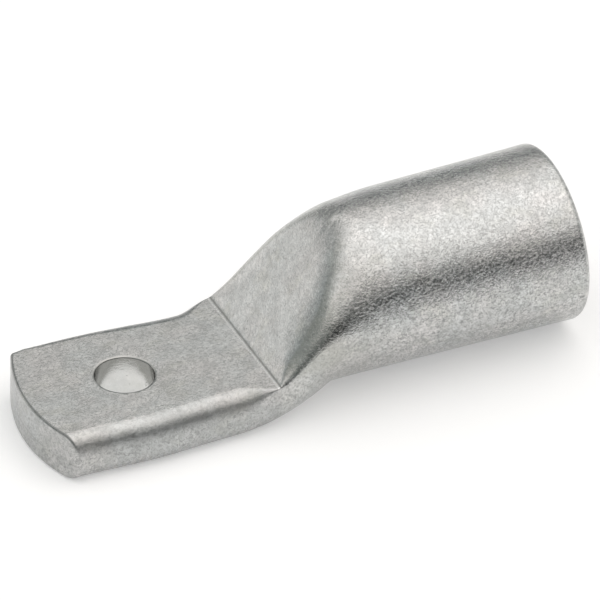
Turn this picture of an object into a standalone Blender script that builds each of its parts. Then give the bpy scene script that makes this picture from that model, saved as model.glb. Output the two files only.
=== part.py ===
"""Tubular cable lug: a tin-plated copper tube, round at one end, pressed flat and pierced at the other.

Frame: +X runs along the lug from the palm's tip to the barrel's mouth, +Z is up and the palm's
underside lies on z = 0. The origin is under the middle of the lug's length. Lengths are in metres.
"""

import math

import bmesh
import bpy
import numpy

# Barrel: the round tube that takes the conductor
BARREL_DIAMETER = 0.0255
WALL_THICKNESS = 0.00325
BARREL_LENGTH = 0.0343
BARREL_DRAW = 0.00032
MOUTH_EDGE_RADIUS = 0.0010
BORE_MOUTH_CHAMFER = 0.0004

# Palm: the flattened end with the stud hole
PALM_WIDTH = 0.0242
PALM_THICKNESS = 0.0074
TIP_TO_HOLE = 0.0153
HOLE_TO_SHOULDER = 0.0184
STUD_HOLE_DIAMETER = 0.0085
STUD_HOLE_CHAMFER = 0.00025
HOLE_SWELL = 0.0005
HOLE_SWELL_LENGTH = 0.0122
TIP_SAGITTA = 0.0030
TIP_BLEND_LENGTH = 0.0080
TIP_EDGE_RADIUS = 0.0005
NEAR_EDGE_WIDTH = 0.0026
NEAR_EDGE_DROP = 0.0044
FAR_EDGE_RADIUS = 0.0030
FAR_TIP_EDGE_RADIUS = 0.00085
PALM_BOTTOM_EDGE_RADIUS = 0.00265

# Transition: rounded flanks that open into the barrel, and the sloped face that the press cuts across them
TRANSITION_LENGTH = 0.0134
FLANK_LENGTH = 0.0112
FLANK_LEAD = 0.0023
FLANK_BLEND = 0.0099
SIDE_RISE_LENGTH = 0.0104
PRESS_BLEND = 0.0014
SHOULDER_BLEND = 0.0003
PRESS_BLEND_LENGTH = 0.0050
PINCH = 0.213
PINCH_ONSET_LENGTH = 0.0080
PINCH_FADE_START = 0.0092
PINCH_FADE_LENGTH = 0.0137
SHOULDER_EDGE_RADIUS = 0.00030
SHOULDER_EDGE_LENGTH = 0.0056
FLARE_LENGTH = 0.0169
FLARE_END_BEFORE_CREASE = 0.0037
RIDGE_HEIGHT = 0.00015
RIDGE_WIDTH = 0.0008

# Hollow: the bore narrows to a slit where the pressed walls meet
SLIT_HEIGHT = 0.0010
INNER_CORNER_RADIUS = 0.0005
CUTTER_OVERSHOOT = 0.0020

# Fineness of the surface
OUTER_SIDES = 96
INNER_SIDES = 48
HOLE_SIDES = 48
PALM_RINGS = 9
SHOULDER_RINGS = 5
SLOPE_RINGS = 24
BARREL_RINGS = 2
HOLLOW_RINGS = 14
EDGE_RINGS = 4
CURVE_STEPS = 60
CORNER_WEIGHT = 0.0035
SHARP_ANGLE = math.radians(30)

# Plated metal
TIN_COLOUR = (0.62, 0.62, 0.60, 1.0)
TIN_ROUGHNESS = 0.38

# Worked out from the sizes above
barrel_radius = BARREL_DIAMETER / 2
bore_radius = barrel_radius - WALL_THICKNESS
length = TIP_TO_HOLE + HOLE_TO_SHOULDER + TRANSITION_LENGTH + BARREL_LENGTH
tip_x = -length / 2
hole_x = tip_x + TIP_TO_HOLE
shoulder_x = hole_x + HOLE_TO_SHOULDER
crease_x = shoulder_x + TRANSITION_LENGTH
mouth_x = crease_x + BARREL_LENGTH
flare_start_x = crease_x - FLARE_END_BEFORE_CREASE - FLARE_LENGTH
round_x = shoulder_x + PINCH_FADE_START + PINCH_FADE_LENGTH
steepness = (BARREL_DIAMETER - PALM_THICKNESS) / TRANSITION_LENGTH
flank_steepness = (BARREL_DIAMETER - PALM_THICKNESS) / FLANK_LENGTH
slit_opening = SLIT_HEIGHT + WALL_THICKNESS * (1 + math.hypot(1, steepness)) - PALM_THICKNESS
slit_x = shoulder_x + max(0.0, slit_opening / steepness)
quarter_turn = math.pi / 2


def clamp(value, low, high):
    """The value, held between two limits."""
    return max(low, min(high, value))


def ease(value):
    """A smooth step from 0 to 1."""
    t = clamp(value, 0.0, 1.0)
    return t * t * (3 - 2 * t)


def spaced(start, end, count):
    """Evenly spaced stations, both ends included."""
    return [start + (end - start) * step / count for step in range(count + 1)]


def tube_radius(x):
    """The barrel's outer radius, which draws in slightly towards the transition."""
    return barrel_radius - BARREL_DRAW * clamp((mouth_x - x) / BARREL_LENGTH, 0.0, 1.0)


def half_width(x):
    """Half the lug's width: the palm swells a little around its pierced hole."""
    swell = HOLE_SWELL * (1 - ease(abs(x - hole_x) / HOLE_SWELL_LENGTH))
    palm = PALM_WIDTH / 2 + swell
    share = ease((x - shoulder_x) / TRANSITION_LENGTH)
    return palm + (tube_radius(x) - palm) * share


def underside(x):
    """Height of the lowest line, which rises where the barrel draws in."""
    rise = barrel_radius - tube_radius(x)
    return rise * ease((x - shoulder_x) / TRANSITION_LENGTH)


def pressed_height(x):
    """Height of the press's own face: the flat palm, then the straight slope."""
    return PALM_THICKNESS + steepness * max(0.0, x - shoulder_x)


def soft_share(first, second, blend):
    """1 where the first height is well below the second, 0 where it is well above, between in the blend."""
    return clamp(0.5 + (second - first) / (2 * blend), 0.0, 1.0)


def softly_lower(first, second, blend):
    """The lower of two heights, with a soft change from one to the other."""
    share = soft_share(first, second, blend)
    return second + (first - second) * share - blend * share * (1 - share)


def flank_line(x):
    """Height of the straight rise that the flanks follow from the shoulder."""
    return PALM_THICKNESS + FLANK_LEAD + flank_steepness * max(0.0, x - shoulder_x)


def flank_height(x):
    """Height of the flanks' own top, which the press cuts away until the crease."""
    return softly_lower(flank_line(x), barrel_radius + tube_radius(x), FLANK_BLEND)


def side_height(x):
    """Height at which the sides turn over into the flanks."""
    shoulder = PALM_THICKNESS - SHOULDER_EDGE_RADIUS
    return shoulder + (barrel_radius - shoulder) * ease((x - shoulder_x) / SIDE_RISE_LENGTH)


def pinch(x):
    """How far the flanks draw in below the crease, as a share of the width."""
    onset = ease((x - shoulder_x) / PINCH_ONSET_LENGTH)
    fade = ease((x - shoulder_x - PINCH_FADE_START) / PINCH_FADE_LENGTH)
    return PINCH * onset * (1 - fade)


def press_blend(x):
    """How softly the pressed face runs into the flanks: crisp at the shoulder, softer above."""
    return SHOULDER_BLEND + (PRESS_BLEND - SHOULDER_BLEND) * ease((x - shoulder_x) / PRESS_BLEND_LENGTH)


def ridge_height(x):
    """The thin raised line that the press leaves across the shoulder."""
    return RIDGE_HEIGHT * max(0.0, 1 - abs(x - shoulder_x) * 2 / RIDGE_WIDTH)


def palm_edge(x, far):
    """Width and drop of the rounding between the palm's top and a side, at its least across the shoulder."""
    width, drop = NEAR_EDGE_WIDTH, NEAR_EDGE_DROP
    if far:
        rounding = ease((x - tip_x) / (TIP_TO_HOLE + HOLE_TO_SHOULDER / 2))
        width = drop = FAR_TIP_EDGE_RADIUS + (FAR_EDGE_RADIUS - FAR_TIP_EDGE_RADIUS) * rounding
    share = ease((shoulder_x - x) / SHOULDER_EDGE_LENGTH)
    least = SHOULDER_EDGE_RADIUS
    return least + (width - least) * share, least + (drop - least) * share


def bottom_edge_radius(x):
    """Radius between the underside and the sides, which flares open into the round barrel."""
    share = clamp((x - flare_start_x) / FLARE_LENGTH, 0.0, 1.0) ** 2
    return PALM_BOTTOM_EDGE_RADIUS + (barrel_radius - PALM_BOTTOM_EDGE_RADIUS) * share


def flat_top(width, high, edge_width, edge_drop):
    """Points over a flat top with a rounded edge, from the side to the middle."""
    edge = []
    for turn in spaced(0.0, quarter_turn, CURVE_STEPS):
        edge.append((width - edge_width * (1 - math.cos(turn)), high - edge_drop * (1 - math.sin(turn))))
    return edge + [(0.0, high)]


def pressed_top(width, side, flank, pressed, drawn_in, blend):
    """Points over a rounded flank that the press cuts flat, from the side to the middle."""
    points = []
    for turn in spaced(quarter_turn, 0.0, CURVE_STEPS):
        reach = math.sin(turn) * (1 - drawn_in * math.cos(turn))
        height = side + (flank - side) * math.cos(turn)
        points.append((width * reach, softly_lower(pressed, height, blend)))
    return points


def half_outline(width, low, bottom_corner, top, steps):
    """Half a section, from the middle of its underside round to the middle of its top."""
    bottom_corner = min(bottom_corner, width, top[0][1] - low)
    points = [(0.0, low)]
    for turn in spaced(0.0, quarter_turn, CURVE_STEPS):
        out, up = 1 - math.sin(turn), 1 - math.cos(turn)
        points.append((width - bottom_corner * out, low + bottom_corner * up))
    return evened(points + top, steps)


def evened(points, steps):
    """The same line in this many steps, closer together where it bends."""
    travelled = [0.0]
    heading = 0.0
    for (y, z), (next_y, next_z) in zip(points, points[1:]):
        size = math.hypot(next_y - y, next_z - z)
        if size > 0:
            turned = math.atan2(max(next_z - z, 0.0), next_y - y)
            size += abs(turned - heading) * CORNER_WEIGHT
            heading = turned
        travelled.append(travelled[-1] + size)
    places = numpy.linspace(0.0, travelled[-1], steps + 1)
    line = numpy.array(points)
    return list(zip(numpy.interp(places, travelled, line[:, 0]), numpy.interp(places, travelled, line[:, 1])))


def joined(far_half, near_half):
    """A whole section from its two halves."""
    return far_half + [(-y, z) for y, z in reversed(near_half[1:-1])]


def outer_ring(x, inset=0.0, ahead=0.0):
    """The lug's outline at station x, shrunk by inset on every side and moved ahead along X."""
    width = half_width(x) - inset
    low = underside(x) + inset
    pressed = pressed_height(x) + ridge_height(x) - inset
    bottom_corner = max(bottom_edge_radius(x) - inset, SHOULDER_EDGE_RADIUS / 2)
    halves = []
    for far in (True, False):
        if x < shoulder_x:
            edge = [max(size - inset, SHOULDER_EDGE_RADIUS / 2) for size in palm_edge(x, far)]
            top = flat_top(width, pressed, *edge)
        else:
            flank = flank_height(x) - inset
            top = pressed_top(width, side_height(x), flank, pressed, pinch(x), press_blend(x))
        halves.append(half_outline(width, low, bottom_corner, top, OUTER_SIDES // 2))
    bow = TIP_SAGITTA * (1 - ease((x - tip_x) / TIP_BLEND_LENGTH))
    return [(x + ahead + bow * (y / (PALM_WIDTH / 2)) ** 2, y, z) for y, z in joined(*halves)]


def hollow_ring(x):
    """The hollow's outline at station x, one wall inside the outer skin."""
    flank_slope = flank_steepness * soft_share(flank_line(x), barrel_radius + tube_radius(x), FLANK_BLEND)
    width = half_width(x) - WALL_THICKNESS
    low = underside(x) + WALL_THICKNESS
    pressed = pressed_height(x) - WALL_THICKNESS * math.hypot(1, steepness)
    flank = flank_height(x) - WALL_THICKNESS * math.hypot(1, flank_slope)
    side = min(side_height(x), pressed - INNER_CORNER_RADIUS, flank - INNER_CORNER_RADIUS)
    top = pressed_top(width, side, flank, pressed, pinch(x), press_blend(x))
    bottom_corner = max(bottom_edge_radius(x) - WALL_THICKNESS, INNER_CORNER_RADIUS)
    half = half_outline(width, low, bottom_corner, top, INNER_SIDES // 2)
    return [(x, y, z) for y, z in joined(half, half)]


def outer_rings():
    """Every ring of the outer form, from the rounded tip to the rounded mouth."""
    tip_start = tip_x + TIP_EDGE_RADIUS
    shoulder_start = shoulder_x - SHOULDER_EDGE_LENGTH
    mouth_end = mouth_x - MOUTH_EDGE_RADIUS
    stations = spaced(tip_start, shoulder_start, PALM_RINGS)
    stations += spaced(shoulder_start, shoulder_x - RIDGE_WIDTH / 2, SHOULDER_RINGS)[1:]
    stations += [shoulder_x]
    stations += spaced(shoulder_x + RIDGE_WIDTH / 2, round_x, SLOPE_RINGS)
    stations += spaced(round_x, mouth_end, BARREL_RINGS)[1:]
    turns = spaced(0.0, quarter_turn, EDGE_RINGS)
    rings = []
    for turn in turns[:-1]:
        inset = TIP_EDGE_RADIUS * (1 - math.sin(turn))
        rings.append(outer_ring(tip_start, inset, -TIP_EDGE_RADIUS * math.cos(turn)))
    rings += [outer_ring(station) for station in stations]
    for turn in turns[1:]:
        inset = MOUTH_EDGE_RADIUS * (1 - math.cos(turn))
        rings.append(outer_ring(mouth_end, inset, MOUTH_EDGE_RADIUS * math.sin(turn)))
    return rings


def hollow_rings():
    """Every ring of the hollow, from the slit to beyond the mouth, with the mouth's chamfer."""
    rings = [hollow_ring(station) for station in spaced(slit_x, round_x, HOLLOW_RINGS)]
    mouth_ring = hollow_ring(mouth_x)
    for station in (mouth_x - BORE_MOUTH_CHAMFER, mouth_x + CUTTER_OVERSHOOT):
        grow = 1 + (station - mouth_x + BORE_MOUTH_CHAMFER) / bore_radius
        offsets = [(y, z - barrel_radius) for _, y, z in mouth_ring]
        rings.append([(station, y * grow, barrel_radius + rise * grow) for y, rise in offsets])
    return rings


def close_bowed_end(shell, row):
    """Closes the bowed tip with upright strips, worked from its middle out to each side."""
    half = len(row) // 2
    for side in (row[:half + 1], [row[0]] + row[:half - 1:-1]):
        low, high = 0, half
        while high - low > 1:
            if abs(side[low + 1].co.y) <= abs(side[high - 1].co.y):
                shell.faces.new((side[low], side[low + 1], side[high]))
                low += 1
            else:
                shell.faces.new((side[low], side[high - 1], side[high]))
                high -= 1


def loft(name, rings, bowed_start=False):
    """A closed mesh object skinned over rings of equal count."""
    shell = bmesh.new()
    rows = [[shell.verts.new(point) for point in ring] for ring in rings]
    count = len(rows[0])
    for first, second in zip(rows, rows[1:]):
        for index in range(count):
            after = (index + 1) % count
            shell.faces.new((first[index], second[index], second[after], first[after]))
    if bowed_start:
        close_bowed_end(shell, rows[0])
    else:
        shell.faces.new(rows[0])
    shell.faces.new(reversed(rows[-1]))
    bmesh.ops.recalc_face_normals(shell, faces=shell.faces)
    mesh = bpy.data.meshes.new(name)
    shell.to_mesh(mesh)
    shell.free()
    mesh.shade_smooth()
    mesh.set_sharp_from_angle(angle=SHARP_ANGLE)
    return bpy.data.objects.new(name, mesh)


def stud_hole_cutter():
    """A pin through the palm that widens to a small chamfer at both faces."""
    radius = STUD_HOLE_DIAMETER / 2
    beyond = radius + STUD_HOLE_CHAMFER + CUTTER_OVERSHOOT
    profile = [
        (beyond, -CUTTER_OVERSHOOT),
        (radius, STUD_HOLE_CHAMFER),
        (radius, PALM_THICKNESS - STUD_HOLE_CHAMFER),
        (beyond, PALM_THICKNESS + CUTTER_OVERSHOOT),
    ]
    angles = [(side + 0.5) * 4 * quarter_turn / HOLE_SIDES for side in range(HOLE_SIDES)]
    rings = [[(hole_x + r * math.cos(a), r * math.sin(a), z) for a in angles] for r, z in profile]
    return loft("stud_hole_cutter", rings)


def tin_plate():
    """Matt tin plate over copper."""
    material = bpy.data.materials.new("tin_plate")
    material.use_nodes = True
    shader = material.node_tree.nodes["Principled BSDF"]
    shader.inputs["Base Color"].default_value = TIN_COLOUR
    shader.inputs["Metallic"].default_value = 1.0
    shader.inputs["Roughness"].default_value = TIN_ROUGHNESS
    material.diffuse_color = TIN_COLOUR
    return material


def cut(body, cutter):
    """Takes the cutter's volume out of the body."""
    cutter.hide_render = True
    cutter.display_type = "WIRE"
    modifier = body.modifiers.new(cutter.name, "BOOLEAN")
    modifier.operation = "DIFFERENCE"
    modifier.solver = "EXACT"
    modifier.object = cutter


def main():
    for old in list(bpy.data.objects):
        bpy.data.objects.remove(old, do_unlink=True)
    parts = bpy.data.collections.new("tubular_cable_lug")
    cutters = bpy.data.collections.new("cutters")
    for collection in (parts, cutters):
        bpy.context.scene.collection.children.link(collection)

    lug = loft("cable_lug", outer_rings(), bowed_start=True)
    lug.data.materials.append(tin_plate())
    parts.objects.link(lug)
    for cutter in (loft("bore_cutter", hollow_rings()), stud_hole_cutter()):
        cutters.objects.link(cutter)
        cut(lug, cutter)
    flat_faces = lug.modifiers.new("even_shading", "WEIGHTED_NORMAL")
    flat_faces.keep_sharp = True


main()
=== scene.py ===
"""Looks of the tubular cable lug: tin-plated copper on a pale floor in plain studio light.

The lug's skin is drawn here from the same sizes as the CAD part, with many more faces, so that its
roundings, its pressed shoulder line and its shallow dents show. Lengths are in metres, but the tin
plate's are in millimetres. The frame is the part's own: +X runs from the palm's tip to the barrel's
mouth, +Y to the far side, and +Z is up.
"""

import math
from types import SimpleNamespace

import bmesh
import bpy
import numpy
from mathutils import Matrix, Vector, noise


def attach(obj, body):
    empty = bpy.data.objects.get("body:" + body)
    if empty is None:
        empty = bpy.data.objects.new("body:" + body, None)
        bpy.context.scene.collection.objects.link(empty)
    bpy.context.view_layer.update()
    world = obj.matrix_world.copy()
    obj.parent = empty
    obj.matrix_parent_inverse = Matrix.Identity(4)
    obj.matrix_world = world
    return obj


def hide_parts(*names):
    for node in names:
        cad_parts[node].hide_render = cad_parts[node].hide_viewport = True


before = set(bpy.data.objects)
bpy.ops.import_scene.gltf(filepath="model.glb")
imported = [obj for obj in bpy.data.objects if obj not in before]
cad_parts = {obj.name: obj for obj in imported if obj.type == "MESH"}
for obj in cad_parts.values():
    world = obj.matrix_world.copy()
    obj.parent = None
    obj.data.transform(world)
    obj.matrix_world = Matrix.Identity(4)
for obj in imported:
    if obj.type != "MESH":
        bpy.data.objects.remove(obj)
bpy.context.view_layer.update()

# Barrel
BARREL_DIAMETER = 0.0255
WALL_THICKNESS = 0.00325
BARREL_LENGTH = 0.0343
BARREL_DRAW = 0.00032
MOUTH_EDGE_RADIUS = 0.0010
BORE_MOUTH_CHAMFER = 0.0004

# Palm
PALM_WIDTH = 0.0242
PALM_THICKNESS = 0.0074
TIP_TO_HOLE = 0.0153
HOLE_TO_SHOULDER = 0.0184
STUD_HOLE_DIAMETER = 0.0085
STUD_HOLE_LIP = 0.00025
HOLE_SWELL = 0.0005
HOLE_SWELL_LENGTH = 0.0122
TIP_SAGITTA = 0.0030
TIP_BLEND_LENGTH = 0.0080
TIP_EDGE_RADIUS = 0.0005
NEAR_EDGE_WIDTH = 0.0026
NEAR_EDGE_DROP = 0.0044
FAR_EDGE_RADIUS = 0.0030
FAR_TIP_EDGE_RADIUS = 0.00085
PALM_BOTTOM_EDGE_RADIUS = 0.00265

# Transition
TRANSITION_LENGTH = 0.0134
FLANK_LENGTH = 0.0112
FLANK_LEAD = 0.0023
FLANK_BLEND = 0.0099
SIDE_RISE_LENGTH = 0.0104
PRESS_BLEND = 0.0014
SHOULDER_BLEND = 0.0003
PRESS_BLEND_LENGTH = 0.0050
PINCH = 0.213
PINCH_ONSET_LENGTH = 0.0080
PINCH_FADE_START = 0.0092
PINCH_FADE_LENGTH = 0.0137
SHOULDER_EDGE_RADIUS = 0.00030
SHOULDER_EDGE_LENGTH = 0.0056
FLARE_LENGTH = 0.0169
FLARE_END_BEFORE_CREASE = 0.0037
RIDGE_HEIGHT = 0.00007
RIDGE_WIDTH = 0.0007

# Hollow
SLIT_HEIGHT = 0.0010
INNER_CORNER_RADIUS = 0.0005

# How the pressed piece strays from true: tip a little askew, mouth sawn out of square, near flank sunk
TIP_SKEW = 0.00047
TIP_SKEW_ROOM = 0.00002
MOUTH_TILT_ACROSS = 0.000229
MOUTH_TILT_UPRIGHT = 0.000244
MOUTH_TILT_REACH = 0.0120
NEAR_DIP = 0.0007
NEAR_DIP_ONSET = 0.0030
NEAR_DIP_FADE_START = 0.0055
NEAR_DIP_FADE_LENGTH = 0.0035
NEAR_SIDE_RISE_LENGTH = 0.0086
FAR_NECK = 0.00025
FAR_NECK_BEFORE_SHOULDER = 0.0055
FAR_NECK_LENGTH = 0.0075
FAR_TIP_CORNER = 0.00035
FAR_TIP_CORNER_LENGTH = 0.0036
NEAR_PINCH = 0.14
NEAR_PRESS_BLEND = 0.0022

# Shallow dents pressed into the skin, which are fainter on the palm
DENT_DEPTH = 0.000016
DENT_SIZE = 0.0012
PALM_DENT_SHARE = 0.35
WAVE_DEPTH = 0.000030
WAVE_SIZE = 0.0070
WAVE_OFFSET = Vector((7.3, 1.9, 4.1))

# The pin that cuts the stud hole and rounds its lips
CUTTER_FLARE = 0.0012
CUTTER_FLARE_SLOPE = 0.45
LIP_START_TURN = 0.12

# Fineness of the skin
SIDES = 224
HOLE_SIDES = 128
PALM_RINGS = 110
SHOULDER_RINGS = 14
SHOULDER_REACH = 0.0006
SLOPE_RINGS = 110
BARREL_RINGS = 60
HOLLOW_RINGS = 44
EDGE_RINGS = 8
CURVE_STEPS = 200
CORNER_WEIGHT = 0.0035
SHARP_ANGLE = math.radians(38)

# Tin plate: the noises in its texture and colour, as swells per millimetre, detail and roughness,
# with a distortion for the grain
MM = 1000
GRAIN = (2.3, 3.0, 0.62, 1.1)
FINE_GRAIN = (7.0, 2.0, 0.6)
SWELLS = (0.75, 2.0, 0.5)
STREAKS = (1.0, 3.0, 0.6)
PITS = (1.1, 2.0, 0.7)
DRIFT = (0.11, 3.0, 0.55)
PATCHES = (0.3, 3.0, 0.6)
CLOUDS = (0.40, 3.0, 0.6)
DASHES = (1.0, 2.0, 0.5)
STREAK_STRETCH = (0.22, 3.4, 3.4)
PATCH_STRETCH = (0.7, 1.0, 1.0)
DASH_STRETCH = (1.0, 0.55, 0.1)

# Tin plate: heights of the texture, in millimetres
PALM_GRAIN_HEIGHT = 0.042
BARREL_GRAIN_HEIGHT = 0.088
FINE_HEIGHT = 0.009
SWELL_HEIGHT = 0.012
STREAK_HEIGHT = 0.006
PIT_HEIGHT = -0.010

# Tin plate: where each region fades out and in, in millimetres from the edge it is named for
SHOULDER_FADE = 0.4
BARREL_GRAIN_FADE = (8.0, 16.0)
SLOPE_END_FADE = (19.0, 12.0)
FLANK_END_FADE = (12.0, 7.0)
FLANK_HEIGHT_FADE = (0.2, 2.2)
HOLE_WALL_FADE = (0.12, -0.05)
TIP_FADE = (5.7, 4.2)
RIDGE_FADE = (-0.25, -0.10)
CORNER_FADE = (-0.05, 0.05)
CORNER_AFTER_SHOULDER = 0.12
SEAM_LEVEL = 2.9

# Tin plate: how squarely the metal faces up the slope, or up, where the press has left it flat
SLOPE_FACING = (0.96, 0.985)
LEVEL_FACING = (0.975, 0.992)

# Tin plate: colours
BLUISH_PLATE = (0.672, 0.688, 0.684, 1.0)
PINKISH_PLATE = (0.708, 0.698, 0.688, 1.0)
OLIVE_PATCH = (0.605, 0.610, 0.570, 1.0)
DARK_CLOUD = (0.36, 0.375, 0.375, 1.0)
DARK_SWELL = (0.36, 0.365, 0.36, 1.0)
# Painted shade in the grain's hollows, strongest on the upright sides
GRAIN_HOLLOW_SHADE = (0.30, 0.305, 0.30, 1.0)
BENT_PALM = (0.24, 0.245, 0.24, 1.0)
# The bent slope a little duller, with painted shade high on the flank
DULL_SHADED_FLANK = (0.40, 0.40, 0.36, 1.0)
HOLE_WALL = (0.40, 0.40, 0.38, 1.0)
# Darker along the tip's upper edge
DARK_TIP_EDGE = (0.14, 0.145, 0.14, 1.0)
TIP_SEAM = (0.16, 0.16, 0.15, 1.0)
# Painted highlight along the raised line across the shoulder
RIDGE_HIGHLIGHT = (0.80, 0.80, 0.79, 1.0)
# Painted shade in the corner just past the shoulder
SHOULDER_CORNER_SHADE = (0.15, 0.15, 0.14, 1.0)
DARK_PIT = (0.25, 0.25, 0.24, 1.0)

# Floor, lamp and world
WHITE = (1.0, 1.0, 1.0, 1.0)
BLACK = (0.0, 0.0, 0.0, 1.0)
FLOOR_SIZE = 4.0
FLOOR_DROP = 0.00002
FLOOR_COLOUR = (0.82, 0.82, 0.82, 1.0)
FLOOR_LIFT = 0.29
# Painted light: the floor glows this much more under the stud hole, where the palm shades it
HOLE_PAINTED_LIGHT = 0.75
KEY_POWER = 2.2
KEY_SIZE = 1.4
KEY_COLOUR = (1.0, 0.93, 0.89)
KEY_PLACE = Vector((0.46, -0.17, 1.21))
WORLD_COLOUR = (1.0, 0.995, 0.985, 1.0)
WORLD_STRENGTH = 1.15

# A card lying in front of the lug, pale near it and grey further out
GROUND_CARD_START = -0.07
GROUND_CARD_FADE_END = -0.17
GROUND_CARD_HEIGHT = 0.0005
GROUND_CARD_PALE = 0.98
GROUND_CARD_GREY = 0.56

# Cards standing round the lug: azimuth from and to, then pairs of elevation and grey, angles in degrees
CARD_DISTANCE = 0.8
CARD_TOP = 56
CARD_COLUMNS = 24
CARD_ROWS = 12
CARDS = {
    "front_card": (-10, 64, [(0, 0.04), (13, 0.02), (20, 0.20), (30, 0.95), (42, 1.22), (56, 1.38)]),
    "mouth_card": (64, 125, [(0, 0.85), (13, 0.70), (24, 0.62), (34, 0.90), (44, 1.18), (56, 1.38)]),
    "right_card": (125, 164, [(0, 0.45), (13, 0.22), (24, 0.32), (36, 0.86), (46, 1.16), (56, 1.30)]),
    "far_right_card": (164, 180, [(0, 0.45), (13, 0.22), (24, 0.24), (36, 0.46), (46, 0.90), (56, 1.25)]),
    "far_card": (180, 204, [(0, 0.95), (6, 0.72), (12, 0.32), (22, 0.30), (42, 0.66), (56, 1.0)]),
    "back_card": (204, 234, [(0, 1.18), (9, 1.08), (16, 0.58), (26, 0.50), (42, 0.72), (56, 1.0)]),
    "left_card": (234, 300, [(0, 0.46), (14, 0.42), (26, 0.40), (34, 0.44), (46, 0.76), (56, 0.95)]),
    "near_left_card": (300, 350, [(0, 0.22), (16, 0.20), (24, 0.34), (32, 0.68), (42, 1.0), (56, 1.10)]),
}

# The cards' tint: bluish where they are dark, warm where they are bright
TINT_START = 0.2
DARK_RED = 0.93
RED_GAIN = 0.11
DARK_BLUE = 0.985
BLUE_LOSS = 0.015

# Camera
CAMERA_AZIMUTH = math.radians(24.754)
CAMERA_ELEVATION = math.radians(35.492)
CAMERA_ROLL = math.radians(0.148)
CAMERA_WIDTH = 0.08378
CAMERA_DISTANCE = 0.6
CAMERA_CLIP_START = 0.01
CAMERA_CLIP_END = 20.0
CAMERA_RIGHT_OF_HOLE = 0.024495
CAMERA_ABOVE_HOLE = 0.010397

# Worked out from the sizes above
barrel_radius = BARREL_DIAMETER / 2
length = TIP_TO_HOLE + HOLE_TO_SHOULDER + TRANSITION_LENGTH + BARREL_LENGTH
tip_x = -length / 2
hole_x = tip_x + TIP_TO_HOLE
shoulder_x = hole_x + HOLE_TO_SHOULDER
crease_x = shoulder_x + TRANSITION_LENGTH
mouth_x = crease_x + BARREL_LENGTH
flare_start_x = crease_x - FLARE_END_BEFORE_CREASE - FLARE_LENGTH
steepness = (BARREL_DIAMETER - PALM_THICKNESS) / TRANSITION_LENGTH
flank_steepness = (BARREL_DIAMETER - PALM_THICKNESS) / FLANK_LENGTH
round_x = shoulder_x + PINCH_FADE_START + PINCH_FADE_LENGTH
slit_opening = SLIT_HEIGHT + WALL_THICKNESS * (1 + math.hypot(1, steepness)) - PALM_THICKNESS
slit_x = shoulder_x + max(0.0, slit_opening / steepness)
mouth_room = math.hypot(MOUTH_TILT_ACROSS, MOUTH_TILT_UPRIGHT)
quarter_turn = math.pi / 2


def clamp(value, low, high):
    """The value, held between two limits."""
    return max(low, min(high, value))


def ease(value):
    """A smooth step from 0 to 1."""
    t = clamp(value, 0.0, 1.0)
    return t * t * (3 - 2 * t)


def spaced(start, end, count):
    """Evenly spaced stations, both ends included."""
    return [start + (end - start) * step / count for step in range(count + 1)]


def tube_radius(x):
    """The barrel's outer radius, which draws in slightly towards the transition."""
    return barrel_radius - BARREL_DRAW * clamp((mouth_x - x) / BARREL_LENGTH, 0.0, 1.0)


def half_width(x):
    """Half the lug's width: the palm swells a little around its pierced hole."""
    swell = HOLE_SWELL * (1 - ease(abs(x - hole_x) / HOLE_SWELL_LENGTH))
    palm = PALM_WIDTH / 2 + swell
    share = ease((x - shoulder_x) / TRANSITION_LENGTH)
    return palm + (tube_radius(x) - palm) * share


def underside(x):
    """Height of the lowest line, which rises where the barrel draws in."""
    return (barrel_radius - tube_radius(x)) * ease((x - shoulder_x) / TRANSITION_LENGTH)


def pressed_height(x):
    """Height of the press's own face: the flat palm, then the straight slope."""
    return PALM_THICKNESS + steepness * max(0.0, x - shoulder_x)


def soft_share(first, second, blend):
    """1 where the first height is well below the second, 0 where it is well above, between in the blend."""
    return clamp(0.5 + (second - first) / (2 * blend), 0.0, 1.0)


def softly_lower(first, second, blend):
    """The lower of two heights, with a soft change from one to the other."""
    share = soft_share(first, second, blend)
    return second + (first - second) * share - blend * share * (1 - share)


def flank_line(x):
    """Height of the straight rise that the flanks follow from the shoulder."""
    return PALM_THICKNESS + FLANK_LEAD + flank_steepness * max(0.0, x - shoulder_x)


def flank_height(x):
    """Height of the flanks' own top, which the press cuts away until the crease."""
    return softly_lower(flank_line(x), barrel_radius + tube_radius(x), FLANK_BLEND)


def side_height(x, far=True):
    """Height at which the sides turn over into the flanks."""
    shoulder = PALM_THICKNESS - SHOULDER_EDGE_RADIUS
    rise_length = SIDE_RISE_LENGTH if far else NEAR_SIDE_RISE_LENGTH
    return shoulder + (barrel_radius - shoulder) * ease((x - shoulder_x) / rise_length)


def pinch(x, far=True):
    """How far the flanks draw in below the crease, as a share of the width."""
    onset = ease((x - shoulder_x) / PINCH_ONSET_LENGTH)
    fade = ease((x - shoulder_x - PINCH_FADE_START) / PINCH_FADE_LENGTH)
    return (PINCH if far else NEAR_PINCH) * onset * (1 - fade)


def press_blend(x, far=True):
    """How softly the pressed face runs into the flanks: crisp at the shoulder, softer above."""
    most = PRESS_BLEND if far else NEAR_PRESS_BLEND
    return SHOULDER_BLEND + (most - SHOULDER_BLEND) * ease((x - shoulder_x) / PRESS_BLEND_LENGTH)


def ridge_height(x):
    """The thin raised line that the press leaves across the shoulder."""
    across = clamp(abs(x - shoulder_x) * 2 / RIDGE_WIDTH, 0.0, 1.0)
    return RIDGE_HEIGHT * (1 + math.cos(across * math.pi)) / 2


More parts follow.
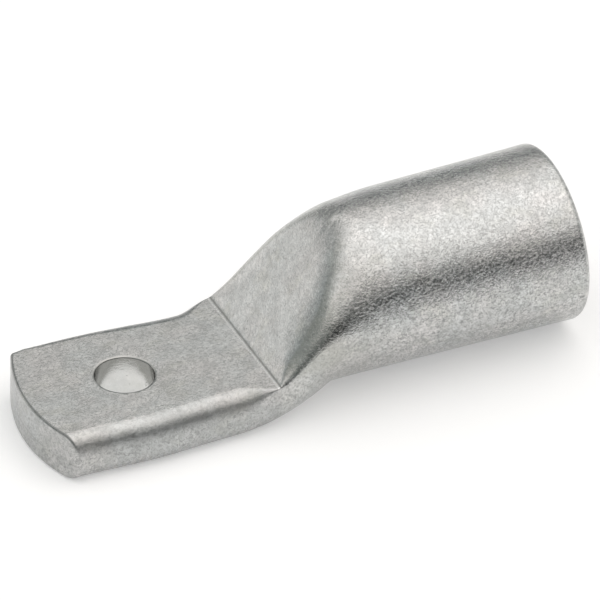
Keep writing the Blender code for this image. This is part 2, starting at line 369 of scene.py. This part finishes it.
def palm_edge(x, far):
    """Width and drop of the rounding between the palm's top and a side, at its least across the shoulder."""
    width, drop = NEAR_EDGE_WIDTH, NEAR_EDGE_DROP
    if far:
        rounding = ease((x - tip_x) / (TIP_TO_HOLE + HOLE_TO_SHOULDER / 2))
        width = drop = FAR_TIP_EDGE_RADIUS + (FAR_EDGE_RADIUS - FAR_TIP_EDGE_RADIUS) * rounding
    share = ease((shoulder_x - x) / SHOULDER_EDGE_LENGTH)
    least = SHOULDER_EDGE_RADIUS
    return least + (width - least) * share, least + (drop - least) * share


def bottom_edge_radius(x):
    """Radius between the underside and the sides, which flares open into the round barrel."""
    share = clamp((x - flare_start_x) / FLARE_LENGTH, 0.0, 1.0) ** 2
    return PALM_BOTTOM_EDGE_RADIUS + (barrel_radius - PALM_BOTTOM_EDGE_RADIUS) * share


def flat_top(width, high, edge_width, edge_drop):
    """Points over a flat top with a rounded edge, from the side to the middle."""
    edge = []
    for turn in spaced(0.0, quarter_turn, CURVE_STEPS):
        edge.append((width - edge_width * (1 - math.cos(turn)), high - edge_drop * (1 - math.sin(turn))))
    return edge + [(0.0, high)]


def pressed_top(width, side, flank, pressed, drawn_in, blend):
    """Points over a rounded flank that the press cuts flat, from the side to the middle."""
    points = []
    for turn in spaced(quarter_turn, 0.0, CURVE_STEPS):
        reach = math.sin(turn) * (1 - drawn_in * math.cos(turn))
        height = side + (flank - side) * math.cos(turn)
        points.append((width * reach, softly_lower(pressed, height, blend)))
    return points


def half_outline(width, low, bottom_corner, top, steps):
    """Half a section, from the middle of its underside round to the middle of its top."""
    bottom_corner = min(bottom_corner, width, top[0][1] - low)
    points = [(0.0, low)]
    for turn in spaced(0.0, quarter_turn, CURVE_STEPS):
        out, up = 1 - math.sin(turn), 1 - math.cos(turn)
        points.append((width - bottom_corner * out, low + bottom_corner * up))
    return evened(points + top, steps)


def evened(points, steps):
    """The same line in this many steps, closer together where it bends."""
    travelled = [0.0]
    heading = 0.0
    for (y, z), (next_y, next_z) in zip(points, points[1:]):
        size = math.hypot(next_y - y, next_z - z)
        if size > 0:
            turned = math.atan2(max(next_z - z, 0.0), next_y - y)
            size += abs(turned - heading) * CORNER_WEIGHT
            heading = turned
        travelled.append(travelled[-1] + size)
    places = numpy.linspace(0.0, travelled[-1], steps + 1)
    sideways, heights = zip(*points)
    return list(zip(numpy.interp(places, travelled, sideways), numpy.interp(places, travelled, heights)))


def joined(far_half, near_half):
    """A whole section from its two halves."""
    return far_half + [(-y, z) for y, z in reversed(near_half[1:-1])]


def near_dip(x):
    """How much lower the near flank lies beside the pressed face."""
    onset = ease((x - shoulder_x) / NEAR_DIP_ONSET)
    return NEAR_DIP * onset * (1 - ease((x - shoulder_x - NEAR_DIP_FADE_START) / NEAR_DIP_FADE_LENGTH))


def far_loss(x):
    """How much narrower the far side is: drawn in before the shoulder, worn at its tip corner."""
    neck = 1 - ease(abs(x - shoulder_x + FAR_NECK_BEFORE_SHOULDER) / FAR_NECK_LENGTH)
    corner = 1 - ease((x - tip_x) / FAR_TIP_CORNER_LENGTH)
    return FAR_NECK * neck + FAR_TIP_CORNER * corner


def strayed(x, y, z):
    """Where the real, slightly untrue piece has a point of the true form."""
    near_tip = 1 - clamp((x - tip_x) / TIP_BLEND_LENGTH, 0.0, 1.0)
    near_mouth = clamp((x - mouth_x + MOUTH_TILT_REACH) / MOUTH_TILT_REACH, 0.0, 1.0)
    across = y / barrel_radius
    upright = (z - barrel_radius) / barrel_radius
    skew = TIP_SKEW_ROOM + TIP_SKEW * y / (PALM_WIDTH / 2)
    tilt = mouth_room + MOUTH_TILT_ACROSS * across + MOUTH_TILT_UPRIGHT * upright
    return (x + near_tip * skew - near_mouth * tilt, y, z)


def outer_ring(x, inset=0.0, ahead=0.0):
    """The lug's outline at station x, shrunk by inset on every side and moved ahead along X."""
    low = underside(x) + inset
    pressed = pressed_height(x) + ridge_height(x) - inset
    bottom_corner = max(bottom_edge_radius(x) - inset, SHOULDER_EDGE_RADIUS / 2)
    halves = []
    for far in (True, False):
        width = half_width(x) - inset - (far_loss(x) if far else 0.0)
        if x < shoulder_x:
            edge = [max(size - inset, SHOULDER_EDGE_RADIUS / 2) for size in palm_edge(x, far)]
            top = flat_top(width, pressed, *edge)
        else:
            flank = flank_height(x) - inset - (0.0 if far else near_dip(x))
            side = side_height(x, far)
            top = pressed_top(width, side, flank, pressed, pinch(x, far), press_blend(x, far))
        halves.append(half_outline(width, low, bottom_corner, top, SIDES // 2))
    bow = TIP_SAGITTA * (1 - ease((x - tip_x) / TIP_BLEND_LENGTH))
    return [strayed(x + ahead + bow * (y / (PALM_WIDTH / 2)) ** 2, y, z) for y, z in joined(*halves)]


def hollow_ring(x, grow=0.0):
    """The hollow's outline at station x, one wall inside the outer skin, widened by grow."""
    wall = WALL_THICKNESS - grow
    flank_slope = flank_steepness * soft_share(flank_line(x), barrel_radius + tube_radius(x), FLANK_BLEND)
    width = half_width(x) - wall
    low = underside(x) + wall
    pressed = pressed_height(x) - WALL_THICKNESS * math.hypot(1, steepness)
    flank = flank_height(x) - wall * math.hypot(1, flank_slope)
    side = min(side_height(x), pressed - INNER_CORNER_RADIUS, flank - INNER_CORNER_RADIUS)
    top = pressed_top(width, side, flank, pressed, pinch(x), press_blend(x))
    bottom_corner = max(bottom_edge_radius(x) - wall, INNER_CORNER_RADIUS)
    half = half_outline(width, low, bottom_corner, top, SIDES // 2)
    return [strayed(x, y, z) for y, z in joined(half, half)]


def skin_rings():
    """Every ring of the skin: over the outside from tip to mouth, then back down the hollow."""
    tip_start = tip_x + TIP_EDGE_RADIUS
    mouth_end = mouth_x - MOUTH_EDGE_RADIUS
    stations = spaced(tip_start, shoulder_x - SHOULDER_REACH, PALM_RINGS)
    stations += spaced(shoulder_x - SHOULDER_REACH, shoulder_x + SHOULDER_REACH, SHOULDER_RINGS)[1:]
    stations += spaced(shoulder_x + SHOULDER_REACH, round_x, SLOPE_RINGS)[1:]
    stations += spaced(round_x, mouth_end, BARREL_RINGS)[1:]
    turns = spaced(0.0, quarter_turn, EDGE_RINGS)
    rings = []
    for turn in turns[:-1]:
        inset = TIP_EDGE_RADIUS * (1 - math.sin(turn))
        rings.append(outer_ring(tip_start, inset, -TIP_EDGE_RADIUS * math.cos(turn)))
    rings += [outer_ring(station) for station in stations]
    for turn in turns[1:]:
        inset = MOUTH_EDGE_RADIUS * (1 - math.cos(turn))
        rings.append(outer_ring(mouth_end, inset, MOUTH_EDGE_RADIUS * math.sin(turn)))
    rings.append(hollow_ring(mouth_x, BORE_MOUTH_CHAMFER))
    rings.append(hollow_ring(mouth_x - BORE_MOUTH_CHAMFER))
    inward = spaced(mouth_x - 2 * BORE_MOUTH_CHAMFER, slit_x, HOLLOW_RINGS)
    rings += [hollow_ring(station) for station in inward]
    return rings


def close_bowed_end(shell, row):
    """Closes the bowed tip with upright strips, worked from its middle out to each side."""
    half = len(row) // 2
    for side in (row[:half + 1], [row[0]] + row[:half - 1:-1]):
        low, high = 0, half
        while high - low > 1:
            if abs(side[low + 1].co.y) <= abs(side[high - 1].co.y):
                shell.faces.new((side[low], side[low + 1], side[high]))
                low += 1
            else:
                shell.faces.new((side[low], side[high - 1], side[high]))
                high -= 1


def loft(name, rings, bowed_start=False):
    """A closed mesh object skinned over rings of equal count."""
    shell = bmesh.new()
    rows = [[shell.verts.new(point) for point in ring] for ring in rings]
    count = len(rows[0])
    for first, second in zip(rows, rows[1:]):
        for index in range(count):
            after = (index + 1) % count
            shell.faces.new((first[index], second[index], second[after], first[after]))
    if bowed_start:
        close_bowed_end(shell, rows[0])
    else:
        shell.faces.new(rows[0])
    shell.faces.new(reversed(rows[-1]))
    bmesh.ops.recalc_face_normals(shell, faces=shell.faces)
    mesh = bpy.data.meshes.new(name)
    shell.to_mesh(mesh)
    shell.free()
    mesh.shade_smooth()
    piece = bpy.data.objects.new(name, mesh)
    bpy.context.scene.collection.objects.link(piece)
    return piece


def press_dents(mesh):
    """Sinks shallow dents and slow waves into the skin, always inward."""
    normals = [Vector(normal.vector) for normal in mesh.vertex_normals]
    for vertex, normal in zip(mesh.vertices, normals):
        place = vertex.co
        barrel = ease((place.x - shoulder_x) / TRANSITION_LENGTH)
        dent = noise.noise(place / DENT_SIZE) * (PALM_DENT_SHARE + (1 - PALM_DENT_SHARE) * barrel)
        wave = noise.noise(place / WAVE_SIZE + WAVE_OFFSET)
        vertex.co = place - normal * (DENT_DEPTH * (1 + dent) + WAVE_DEPTH * (1 + wave)) / 2


def stud_hole_cutter():
    """A pin through the palm, flared to a small rounded lip at both faces."""
    radius = STUD_HOLE_DIAMETER / 2
    profile = [(radius + STUD_HOLE_LIP + CUTTER_FLARE, -CUTTER_FLARE * CUTTER_FLARE_SLOPE)]
    for turn in spaced(LIP_START_TURN, quarter_turn, EDGE_RINGS):
        reach, height = 1 - math.sin(turn), 1 - math.cos(turn)
        profile.append((radius + STUD_HOLE_LIP * reach, STUD_HOLE_LIP * height))
    upper = [(reach, PALM_THICKNESS - height) for reach, height in reversed(profile)]
    angles = [(side + 0.5) * 4 * quarter_turn / HOLE_SIDES for side in range(HOLE_SIDES)]
    rings = [[(hole_x + r * math.cos(a), r * math.sin(a), z) for a in angles] for r, z in profile + upper]
    return loft("stud_hole_cutter", rings)


class Graph:
    """Adds nodes to a shader's tree and links them."""

    def __init__(self, tree):
        self.tree = tree

    def feed(self, node, inputs):
        """Gives a node its inputs, each a socket to link or a value to set."""
        for key, value in inputs.items():
            if isinstance(value, bpy.types.NodeSocket):
                self.tree.links.new(value, node.inputs[key])
            else:
                node.inputs[key].default_value = value

    def add(self, kind, inputs=None, **settings):
        """A new node with these settings and inputs."""
        node = self.tree.nodes.new(kind)
        for name, value in settings.items():
            setattr(node, name, value)
        self.feed(node, inputs or {})
        return node

    def split(self, vector):
        """The three parts of a vector."""
        return self.add("ShaderNodeSeparateXYZ", {0: vector}).outputs

    def math(self, operation, first, second=0.0):
        """One number from one or two."""
        return self.add("ShaderNodeMath", {0: first, 1: second}, operation=operation).outputs[0]

    def times(self, first, second):
        """The product of two numbers."""
        return self.math("MULTIPLY", first, second)

    def plus(self, first, second):
        """The sum of two numbers."""
        return self.math("ADD", first, second)

    def step(self, value, low, high, start=0.0, end=1.0):
        """A smooth change from start to end while the value goes from low to high."""
        inputs = {"Value": value, "From Min": low, "From Max": high, "To Min": start, "To Max": end}
        return self.add("ShaderNodeMapRange", inputs, interpolation_type="SMOOTHSTEP").outputs[0]

    def step_past(self, value, edge, fade):
        """A smooth change from 0 to 1 over a fade, whose two ends are given from an edge."""
        return self.step(value, edge + fade[0], edge + fade[1])

    def line(self, value, centre, edge, core):
        """1 within core of the centre, fading to 0 at the edge."""
        return self.step(self.math("ABSOLUTE", self.math("SUBTRACT", value, centre)), edge, core)

    def scaled_where(self, mask, value, share):
        """The value, scaled down to this share of it where the mask is 1."""
        return self.times(value, self.step(mask, 0.0, 1.0, 1.0, share))

    def distance(self, x, y, centre_x):
        """Distance in plan from a point on the X axis."""
        along = self.math("SUBTRACT", x, centre_x)
        return self.math("SQRT", self.plus(self.times(along, along), self.times(y, y)))

    def noise(self, place, scale, detail, roughness, distortion=0.0):
        """Soft noise around 0.5, with this many swells per unit of place."""
        inputs = {"Vector": place, "Scale": scale, "Detail": detail, "Roughness": roughness}
        inputs["Distortion"] = distortion
        return self.add("ShaderNodeTexNoise", inputs).outputs["Fac"]

    def stretched(self, place, scales):
        """The place, scaled along each axis."""
        return self.add("ShaderNodeMapping", {"Vector": place, "Scale": scales}).outputs[0]

    def mix(self, factor, first, second):
        """One colour fading into another."""
        node = self.add("ShaderNodeMix", data_type="RGBA")
        for key, value in (("Factor_Float", factor), ("A_Color", first), ("B_Color", second)):
            socket = next(item for item in node.inputs if item.identifier == key)
            if isinstance(value, bpy.types.NodeSocket):
                self.tree.links.new(value, socket)
            else:
                socket.default_value = value
        return next(item for item in node.outputs if item.identifier == "Result_Color")


def new_material(name):
    """An empty node material, its graph and its shader."""
    material = bpy.data.materials.new(name)
    material.use_nodes = True
    graph = Graph(material.node_tree)
    return material, graph, material.node_tree.nodes["Principled BSDF"]


def plate_regions(graph):
    """The plate's place in millimetres, and masks that are 1 in one region of the lug."""
    coordinates = graph.add("ShaderNodeTexCoord").outputs
    scaling = {0: coordinates["Object"], "Scale": MM}
    place = graph.add("ShaderNodeVectorMath", scaling, operation="SCALE").outputs[0]
    x, y, z = graph.split(place)
    facing_x, _, facing_z = graph.split(coordinates["Normal"])
    shoulder = shoulder_x * MM
    palm_top = PALM_THICKNESS * MM
    hole_edge = (STUD_HOLE_DIAMETER / 2 + STUD_HOLE_LIP) * MM
    from_hole = graph.distance(x, y, hole_x * MM)

    # Where the press has left the metal flat, and where it is only bent
    slope_size = math.hypot(1, steepness)
    facing_back = graph.times(facing_x, -steepness / slope_size)
    facing_slope = graph.plus(facing_back, graph.times(facing_z, 1 / slope_size))
    on_slope = graph.step(facing_slope, *SLOPE_FACING)
    pressed = graph.math("MAXIMUM", graph.step(facing_z, *LEVEL_FACING), on_slope)
    bent = graph.math("SUBTRACT", 1.0, pressed)
    palm = graph.step(x, shoulder + SHOULDER_FADE, shoulder - SHOULDER_FADE)
    after_palm = graph.step(x, shoulder - SHOULDER_FADE, shoulder + SHOULDER_FADE)
    slope = graph.times(after_palm, graph.step_past(x, shoulder, SLOPE_END_FADE))
    high = graph.step_past(z, palm_top, FLANK_HEIGHT_FADE)

    # The tip's face and its upper edge, and the two lines across the shoulder
    tip = graph.step_past(x, tip_x * MM, TIP_FADE)
    tip_edge = graph.times(graph.step(facing_x, -0.15, -0.45), graph.step(facing_z, 0.15, 0.45))
    ridge = graph.line(x, shoulder - RIDGE_WIDTH * MM / 4, 0.20, 0.05)
    corner = graph.line(x, shoulder + CORNER_AFTER_SHOULDER, 0.14, 0.03)

    return SimpleNamespace(
        place=place,
        level=z,
        facing_slope=facing_slope,
        barrel=graph.step_past(x, shoulder, BARREL_GRAIN_FADE),
        hole_wall=graph.step_past(from_hole, hole_edge, HOLE_WALL_FADE),
        sawn=graph.step(facing_x, 0.85, 0.95),
        upright_side=graph.step(facing_z, 0.45, 0.15),
        bent_palm=graph.times(palm, bent),
        bent_slope=graph.times(slope, bent),
        flank=graph.times(high, graph.step_past(x, shoulder, FLANK_END_FADE)),
        tip_edge=graph.times(tip, tip_edge),
        tip_face=graph.times(tip, graph.step(facing_x, -0.80, -0.92)),
        ridge=graph.times(ridge, graph.step_past(z, palm_top, RIDGE_FADE)),
        corner=graph.times(corner, graph.step_past(z, palm_top, CORNER_FADE)),
    )


def plate_texture(graph, place):
    """The plating's grain, its fine grain, slow swells, streaks along the tube, and pits."""
    return SimpleNamespace(
        grain=graph.noise(place, *GRAIN),
        fine=graph.noise(place, *FINE_GRAIN),
        swell=graph.noise(place, *SWELLS),
        streak=graph.noise(graph.stretched(place, STREAK_STRETCH), *STREAKS),
        pit=graph.step(graph.noise(place, *PITS), 0.66, 0.74),
    )


def plate_height(graph, region, texture):
    """Height of the plating's texture in millimetres, shallower in the hole and on the sawn mouth."""
    depth = graph.step(region.barrel, 0.0, 1.0, PALM_GRAIN_HEIGHT, BARREL_GRAIN_HEIGHT)
    depth = graph.scaled_where(region.hole_wall, depth, 0.1)
    depth = graph.scaled_where(region.sawn, depth, 0.35)
    height = graph.times(texture.grain, depth)
    height = graph.plus(height, graph.times(texture.fine, FINE_HEIGHT))
    height = graph.plus(height, graph.times(texture.swell, SWELL_HEIGHT))
    height = graph.plus(height, graph.times(texture.streak, STREAK_HEIGHT))
    return graph.plus(height, graph.times(texture.pit, PIT_HEIGHT))


def hollow_shade_share(graph, region, texture):
    """How much painted shade darkens the hollows of the grain: most on the barrel's sides, faint in the
    hole.
    """
    on_barrel = graph.step(region.barrel, 0.0, 1.0, 0.56, 0.72)
    share = graph.plus(graph.times(region.upright_side, 0.30), on_barrel)
    share = graph.times(share, graph.step(region.facing_slope, *SLOPE_FACING, 1.0, 0.78))
    share = graph.scaled_where(region.hole_wall, share, 0.15)
    share = graph.times(graph.step(texture.grain, 0.32, 0.60, 1.0, 0.0), share)
    return graph.scaled_where(region.sawn, share, 0.5)


def seam_share(graph, region):
    """The broken line on the tip's face where the tube's two walls meet."""
    dashes = graph.noise(graph.stretched(region.place, DASH_STRETCH), *DASHES)
    dashes = graph.step(dashes, 0.42, 0.55)
    line = graph.line(region.level, SEAM_LEVEL, 0.16, 0.04)
    return graph.times(graph.times(line, dashes), region.tip_face)


def plate_colour(graph, region, texture):
    """A pale grey between bluish and pinkish, under the stains and marks of its making, with painted shade
    in the grain's hollows, high on the flank and in the shoulder's corner, a painted highlight along the
    shoulder's ridge, and a darker line along the tip's upper edge.
    """
    drift = graph.noise(region.place, *DRIFT)
    patch = graph.noise(graph.stretched(region.place, PATCH_STRETCH), *PATCHES)
    cloud = graph.noise(region.place, *CLOUDS)
    # Painted shade high on the bent flank, over a slight dulling of the whole bent slope
    dull_and_shaded_slope = graph.times(region.bent_slope, graph.step(region.flank, 0.0, 1.0, 0.16, 0.50))
    layers = (
        (graph.step(patch, 0.50, 0.70, 0.0, 0.6), OLIVE_PATCH),
        (graph.step(cloud, 0.36, 0.60, 0.26, 0.0), DARK_CLOUD),
        (graph.step(texture.swell, 0.38, 0.60, 0.22, 0.0), DARK_SWELL),
        # painted shade in the grain's hollows
        (hollow_shade_share(graph, region, texture), GRAIN_HOLLOW_SHADE),
        (graph.times(region.bent_palm, 0.24), BENT_PALM),
        (dull_and_shaded_slope, DULL_SHADED_FLANK),
        (graph.times(region.hole_wall, 0.5), HOLE_WALL),
        # darker along the tip's upper edge
        (graph.times(region.tip_edge, 0.45), DARK_TIP_EDGE),
        (graph.times(seam_share(graph, region), 0.40), TIP_SEAM),
        # painted highlight along the shoulder's ridge
        (graph.times(region.ridge, 0.8), RIDGE_HIGHLIGHT),
        # painted shade in the corner past the shoulder
        (graph.times(region.corner, 0.55), SHOULDER_CORNER_SHADE),
        (graph.times(texture.pit, 0.35), DARK_PIT),
        (graph.step(texture.fine, 0.35, 0.65, 0.14, 0.0), DARK_PIT),
    )
    colour = graph.mix(graph.step(drift, 0.38, 0.62), BLUISH_PLATE, PINKISH_PLATE)
    for share, tint in layers:
        colour = graph.mix(share, colour, tint)
    return colour


def plate_roughness(graph, region, texture):
    """Smoother and rougher by swell and streak, duller on the bent palm, brighter in the hole."""
    rough = graph.step(texture.swell, 0.3, 0.7, 0.14, 0.20)
    rough = graph.plus(rough, graph.step(texture.streak, 0.4, 0.7, -0.02, 0.04))
    rough = graph.plus(rough, graph.times(region.bent_palm, 0.16))
    return graph.scaled_where(region.hole_wall, rough, 0.40)


def tin_plate():
    """Electroplated tin over drawn and pressed copper: matt grain, faint streaks, stains and pits."""
    material, graph, shader = new_material("tin_plate")
    region = plate_regions(graph)
    texture = plate_texture(graph, region.place)
    bump = {"Height": plate_height(graph, region, texture), "Distance": 1 / MM, "Strength": 1.0}
    graph.feed(shader, {
        "Base Color": plate_colour(graph, region, texture),
        "Roughness": plate_roughness(graph, region, texture),
        "Normal": graph.add("ShaderNodeBump", bump).outputs["Normal"],
        "Metallic": 1.0,
    })
    return material


def floor_white():
    """A pale matt floor that shows as white where nothing shades it, with painted light that makes it glow
    pale under the stud hole.
    """
    material, graph, shader = new_material("floor_white")
    path = graph.add("ShaderNodeLightPath").outputs
    seen = graph.math("MAXIMUM", path["Is Camera Ray"], path["Is Glossy Ray"])
    seen = graph.math("MAXIMUM", seen, path["Is Transmission Ray"])
    x, y, _ = graph.split(graph.add("ShaderNodeTexCoord").outputs["Object"])
    from_hole = graph.distance(x, y, hole_x)
    # Painted light: a pale glowing patch on the floor under the stud hole
    painted_light_patch = graph.step(from_hole, STUD_HOLE_DIAMETER * 0.55, STUD_HOLE_DIAMETER * 0.45)
    lift = graph.times(seen, FLOOR_LIFT)
    graph.feed(shader, {
        "Base Color": FLOOR_COLOUR,
        "Roughness": 0.9,
        "Specular IOR Level": 0.0,
        "Emission Color": WHITE,
        "Emission Strength": graph.plus(lift, graph.times(graph.times(painted_light_patch, seen), HOLE_PAINTED_LIGHT)),
    })
    return material


def glowing(graph, shader, colour, strength):
    """Makes a shader black and matt, so that it only gives light."""
    graph.feed(shader, {
        "Base Color": BLACK,
        "Roughness": 1.0,
        "Specular IOR Level": 0.0,
        "Emission Color": colour,
        "Emission Strength": strength,
    })


def ground_card_material():
    """Pale beside the lug, and grey further in front of it."""
    material, graph, shader = new_material("ground_card")
    _, y, _ = graph.split(graph.add("ShaderNodeTexCoord").outputs["Object"])
    fade = (GROUND_CARD_START, GROUND_CARD_FADE_END, GROUND_CARD_PALE, GROUND_CARD_GREY)
    glowing(graph, shader, WHITE, graph.step(y, *fade))
    return material


def card_material(name, shades):
    """A card whose grey changes with height: shades are pairs of elevation in degrees and grey."""
    material, graph, shader = new_material(name)
    _, _, height = graph.split(graph.add("ShaderNodeTexCoord").outputs["Object"])
    angle = graph.math("ARCTANGENT", graph.math("DIVIDE", height, CARD_DISTANCE))
    ramp = graph.add("ShaderNodeValToRGB", {0: graph.math("DIVIDE", angle, quarter_turn)})
    points = ramp.color_ramp.elements
    while len(points) < len(shades):
        points.new(0.5)
    for point, (elevation, grey) in zip(points, shades):
        warmth = ease(grey - TINT_START)
        red = DARK_RED + RED_GAIN * warmth
        blue = DARK_BLUE - BLUE_LOSS * warmth
        point.position = elevation / 90
        point.color = (grey * red, grey, grey * blue, 1.0)
    glowing(graph, shader, ramp.outputs[0], 1.0)
    return material


def stage_piece(name, mesh, material):
    """A mesh put in the scene as part of its stage."""
    mesh.materials.append(material)
    piece = bpy.data.objects.new(name, mesh)
    bpy.context.scene.collection.objects.link(piece)
    return piece


def card(name, start, end, shades):
    """A card bent round the lug from azimuth start to end; azimuth 0 is towards -Y, 90 towards +X."""
    shell = bmesh.new()
    rows = []
    for height in spaced(0.0, CARD_DISTANCE * math.tan(math.radians(CARD_TOP)), CARD_ROWS):
        row = []
        for azimuth in spaced(math.radians(start), math.radians(end), CARD_COLUMNS):
            across, forward = CARD_DISTANCE * math.sin(azimuth), -CARD_DISTANCE * math.cos(azimuth)
            row.append(shell.verts.new((across, forward, height)))
        rows.append(row)
    for first, second in zip(rows, rows[1:]):
        for index in range(CARD_COLUMNS):
            shell.faces.new((first[index], first[index + 1], second[index + 1], second[index]))
    mesh = bpy.data.meshes.new(name)
    shell.to_mesh(mesh)
    shell.free()
    mesh.shade_smooth()
    piece = stage_piece(name, mesh, card_material(name, shades))
    piece.visible_camera = False


def make_lug():
    """The lug's skin with its stud hole, in place of the CAD solid."""
    lug = loft("cable_lug_skin", skin_rings(), bowed_start=True)
    press_dents(lug.data)
    lug.data.materials.append(tin_plate())
    cutter = stud_hole_cutter()
    pierce = lug.modifiers.new("stud_hole", "BOOLEAN")
    pierce.operation = "DIFFERENCE"
    pierce.solver = "EXACT"
    pierce.object = cutter
    with bpy.context.temp_override(object=lug, active_object=lug, selected_objects=[lug]):
        bpy.ops.object.modifier_apply(modifier=pierce.name)
    bpy.data.objects.remove(cutter, do_unlink=True)
    lug.data.set_sharp_from_angle(angle=SHARP_ANGLE)
    even = lug.modifiers.new("even_shading", "WEIGHTED_NORMAL")
    even.keep_sharp = True
    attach(lug, "root")
    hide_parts("cable_lug")


def level_sheet(name, near, far, reach, height, material):
    """A level rectangle of the stage, from near to far along Y and reach to each side."""
    mesh = bpy.data.meshes.new(name)
    corners = [(-reach, near), (reach, near), (reach, far), (-reach, far)]
    mesh.from_pydata([(x, y, height) for x, y in corners], [], [(0, 1, 2, 3)])
    return stage_piece(name, mesh, material)


def make_floor():
    """The pale floor under the lug."""
    half = FLOOR_SIZE / 2
    level_sheet("floor", -half, half, half, -FLOOR_DROP, floor_white())


def make_ground_card():
    """A grey card lying in front of the lug, which only the metal mirrors."""
    near, far = -CARD_DISTANCE, GROUND_CARD_START
    material = ground_card_material()
    piece = level_sheet("ground_card", near, far, CARD_DISTANCE, GROUND_CARD_HEIGHT, material)
    piece.visible_camera = False
    piece.visible_diffuse = False
    piece.visible_shadow = False
    piece.visible_transmission = False


def make_light():
    """A white surround, a soft light overhead, and grey cards that give the metal its shading."""
    world = bpy.data.worlds.new("surround")
    world.use_nodes = True
    background = world.node_tree.nodes["Background"]
    background.inputs["Color"].default_value = WORLD_COLOUR
    background.inputs["Strength"].default_value = WORLD_STRENGTH
    bpy.context.scene.world = world
    lamp = bpy.data.lights.new("overhead", "AREA")
    lamp.shape = "DISK"
    lamp.size = KEY_SIZE
    lamp.energy = KEY_POWER
    lamp.color = KEY_COLOUR
    overhead = bpy.data.objects.new("overhead", lamp)
    overhead.location = KEY_PLACE
    overhead.rotation_euler = KEY_PLACE.to_track_quat("Z", "Y").to_euler()
    bpy.context.scene.collection.objects.link(overhead)
    for name, (start, end, shades) in CARDS.items():
        card(name, start, end, shades)


def make_camera():
    """The photograph's view."""
    level_back = Vector((-math.sin(CAMERA_AZIMUTH), -math.cos(CAMERA_AZIMUTH), 0.0))
    back = level_back * math.cos(CAMERA_ELEVATION) + Vector((0.0, 0.0, math.sin(CAMERA_ELEVATION)))
    right = Vector((math.cos(CAMERA_AZIMUTH), -math.sin(CAMERA_AZIMUTH), 0.0))
    up = back.cross(right)
    level_right, level_up = right, up
    right = math.cos(CAMERA_ROLL) * level_right + math.sin(CAMERA_ROLL) * level_up
    up = math.cos(CAMERA_ROLL) * level_up - math.sin(CAMERA_ROLL) * level_right
    aim = Vector((hole_x, 0.0, PALM_THICKNESS)) + right * CAMERA_RIGHT_OF_HOLE + up * CAMERA_ABOVE_HOLE
    camera = bpy.data.objects.new("camera", bpy.data.cameras.new("camera"))
    camera.data.type = "ORTHO"
    camera.data.ortho_scale = CAMERA_WIDTH
    camera.data.clip_start = CAMERA_CLIP_START
    camera.data.clip_end = CAMERA_CLIP_END
    turn = Matrix((right, up, back)).transposed().to_4x4()
    camera.matrix_world = Matrix.Translation(aim + back * CAMERA_DISTANCE) @ turn
    bpy.context.scene.collection.objects.link(camera)
    bpy.context.scene.camera = camera


make_camera()
make_light()
make_floor()
make_ground_card()
make_lug()
bpy.context.scene.view_settings.view_transform = "Standard"
